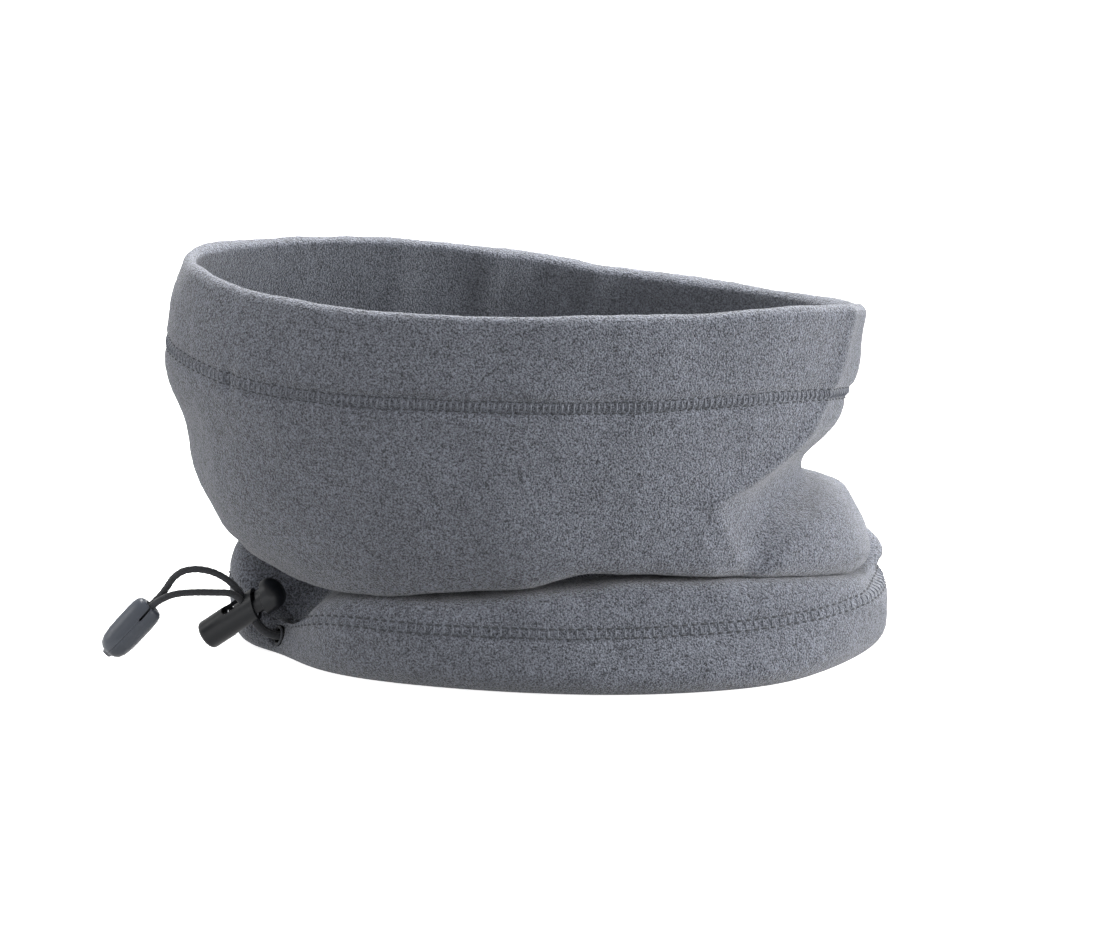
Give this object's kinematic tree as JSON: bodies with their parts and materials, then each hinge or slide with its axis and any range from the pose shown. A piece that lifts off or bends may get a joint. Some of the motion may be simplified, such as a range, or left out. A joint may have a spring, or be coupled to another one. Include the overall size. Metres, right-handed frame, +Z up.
{
  "type": "neck gaiter",
  "caption": "Fleece neck gaiter slumped where it stands, with a stitched top hem, a deep fold and a drawcord hem closed by a push-button cord lock.",
  "frame": {"origin": "under the middle of the fleece, on the surface it stands on; the loose cord and what is on it are not counted", "axes": "+X along the long way of the slumped tube, away from the cord lock, +Y to the back, +Z up through the neck opening"},
  "size_m": [0.2565, 0.1304, 0.1289],
  "materials": {
    "fleece": "matte",
    "fleece_inside": "matte",
    "thread": "matte",
    "cord_braid": "matte",
    "lock_plastic": "satin",
    "cord_end_plastic": "satin",
    "spring_steel": "polished"
  },
  "bodies": {
    "hem": {"lower_wall": "fleece", "channel_facing": "fleece_inside", "channel_stitch_upper": "thread", "channel_stitch_lower": "thread", "drawcord": "cord_braid", "cord_exit_binding": "thread"},
    "tube": {"upper_wall": "fleece", "top_hem_facing": "fleece_inside", "side_seam": "fleece_inside", "top_stitch_upper": "thread", "top_stitch_lower": "thread"},
    "lock": {"lock_barrel": "lock_plastic", "lock_spring": "spring_steel", "exit_strand_near": "cord_braid", "exit_strand_far": "cord_braid", "loop_strand_near": "cord_braid", "loop_strand_far": "cord_braid"},
    "button": {"lock_plunger": "lock_plastic"},
    "cord_end": {"cord_end_upper": "cord_end_plastic", "cord_end_lower": "cord_end_plastic", "cord_knot": "cord_braid"}
  },
  "joints": [
    {"name": "tube_pull_up", "type": "slide", "parent": "hem", "child": "tube", "axis": [0, 0, 1], "range_m": [0, 0.03]},
    {"name": "lock_slide", "type": "slide", "parent": "hem", "child": "lock", "axis": [-0.8601, -0.5101, 0], "range_m": [0, 0.012], "deforming": ["exit_strand_near", "exit_strand_far"]},
    {"name": "button_press", "type": "slide", "parent": "lock", "child": "button", "axis": [-0.8058, 0.1395, -0.5756], "range_m": [0, 0.0034], "stiffness_N_per_m": 1200, "deforming": ["lock_spring"]},
    {"name": "cord_pull", "type": "slide", "parent": "lock", "child": "cord_end", "axis": [-0.9781, -0.208, 0], "range_m": [0, 0.03], "deforming": ["loop_strand_near", "loop_strand_far"]}
  ]
}
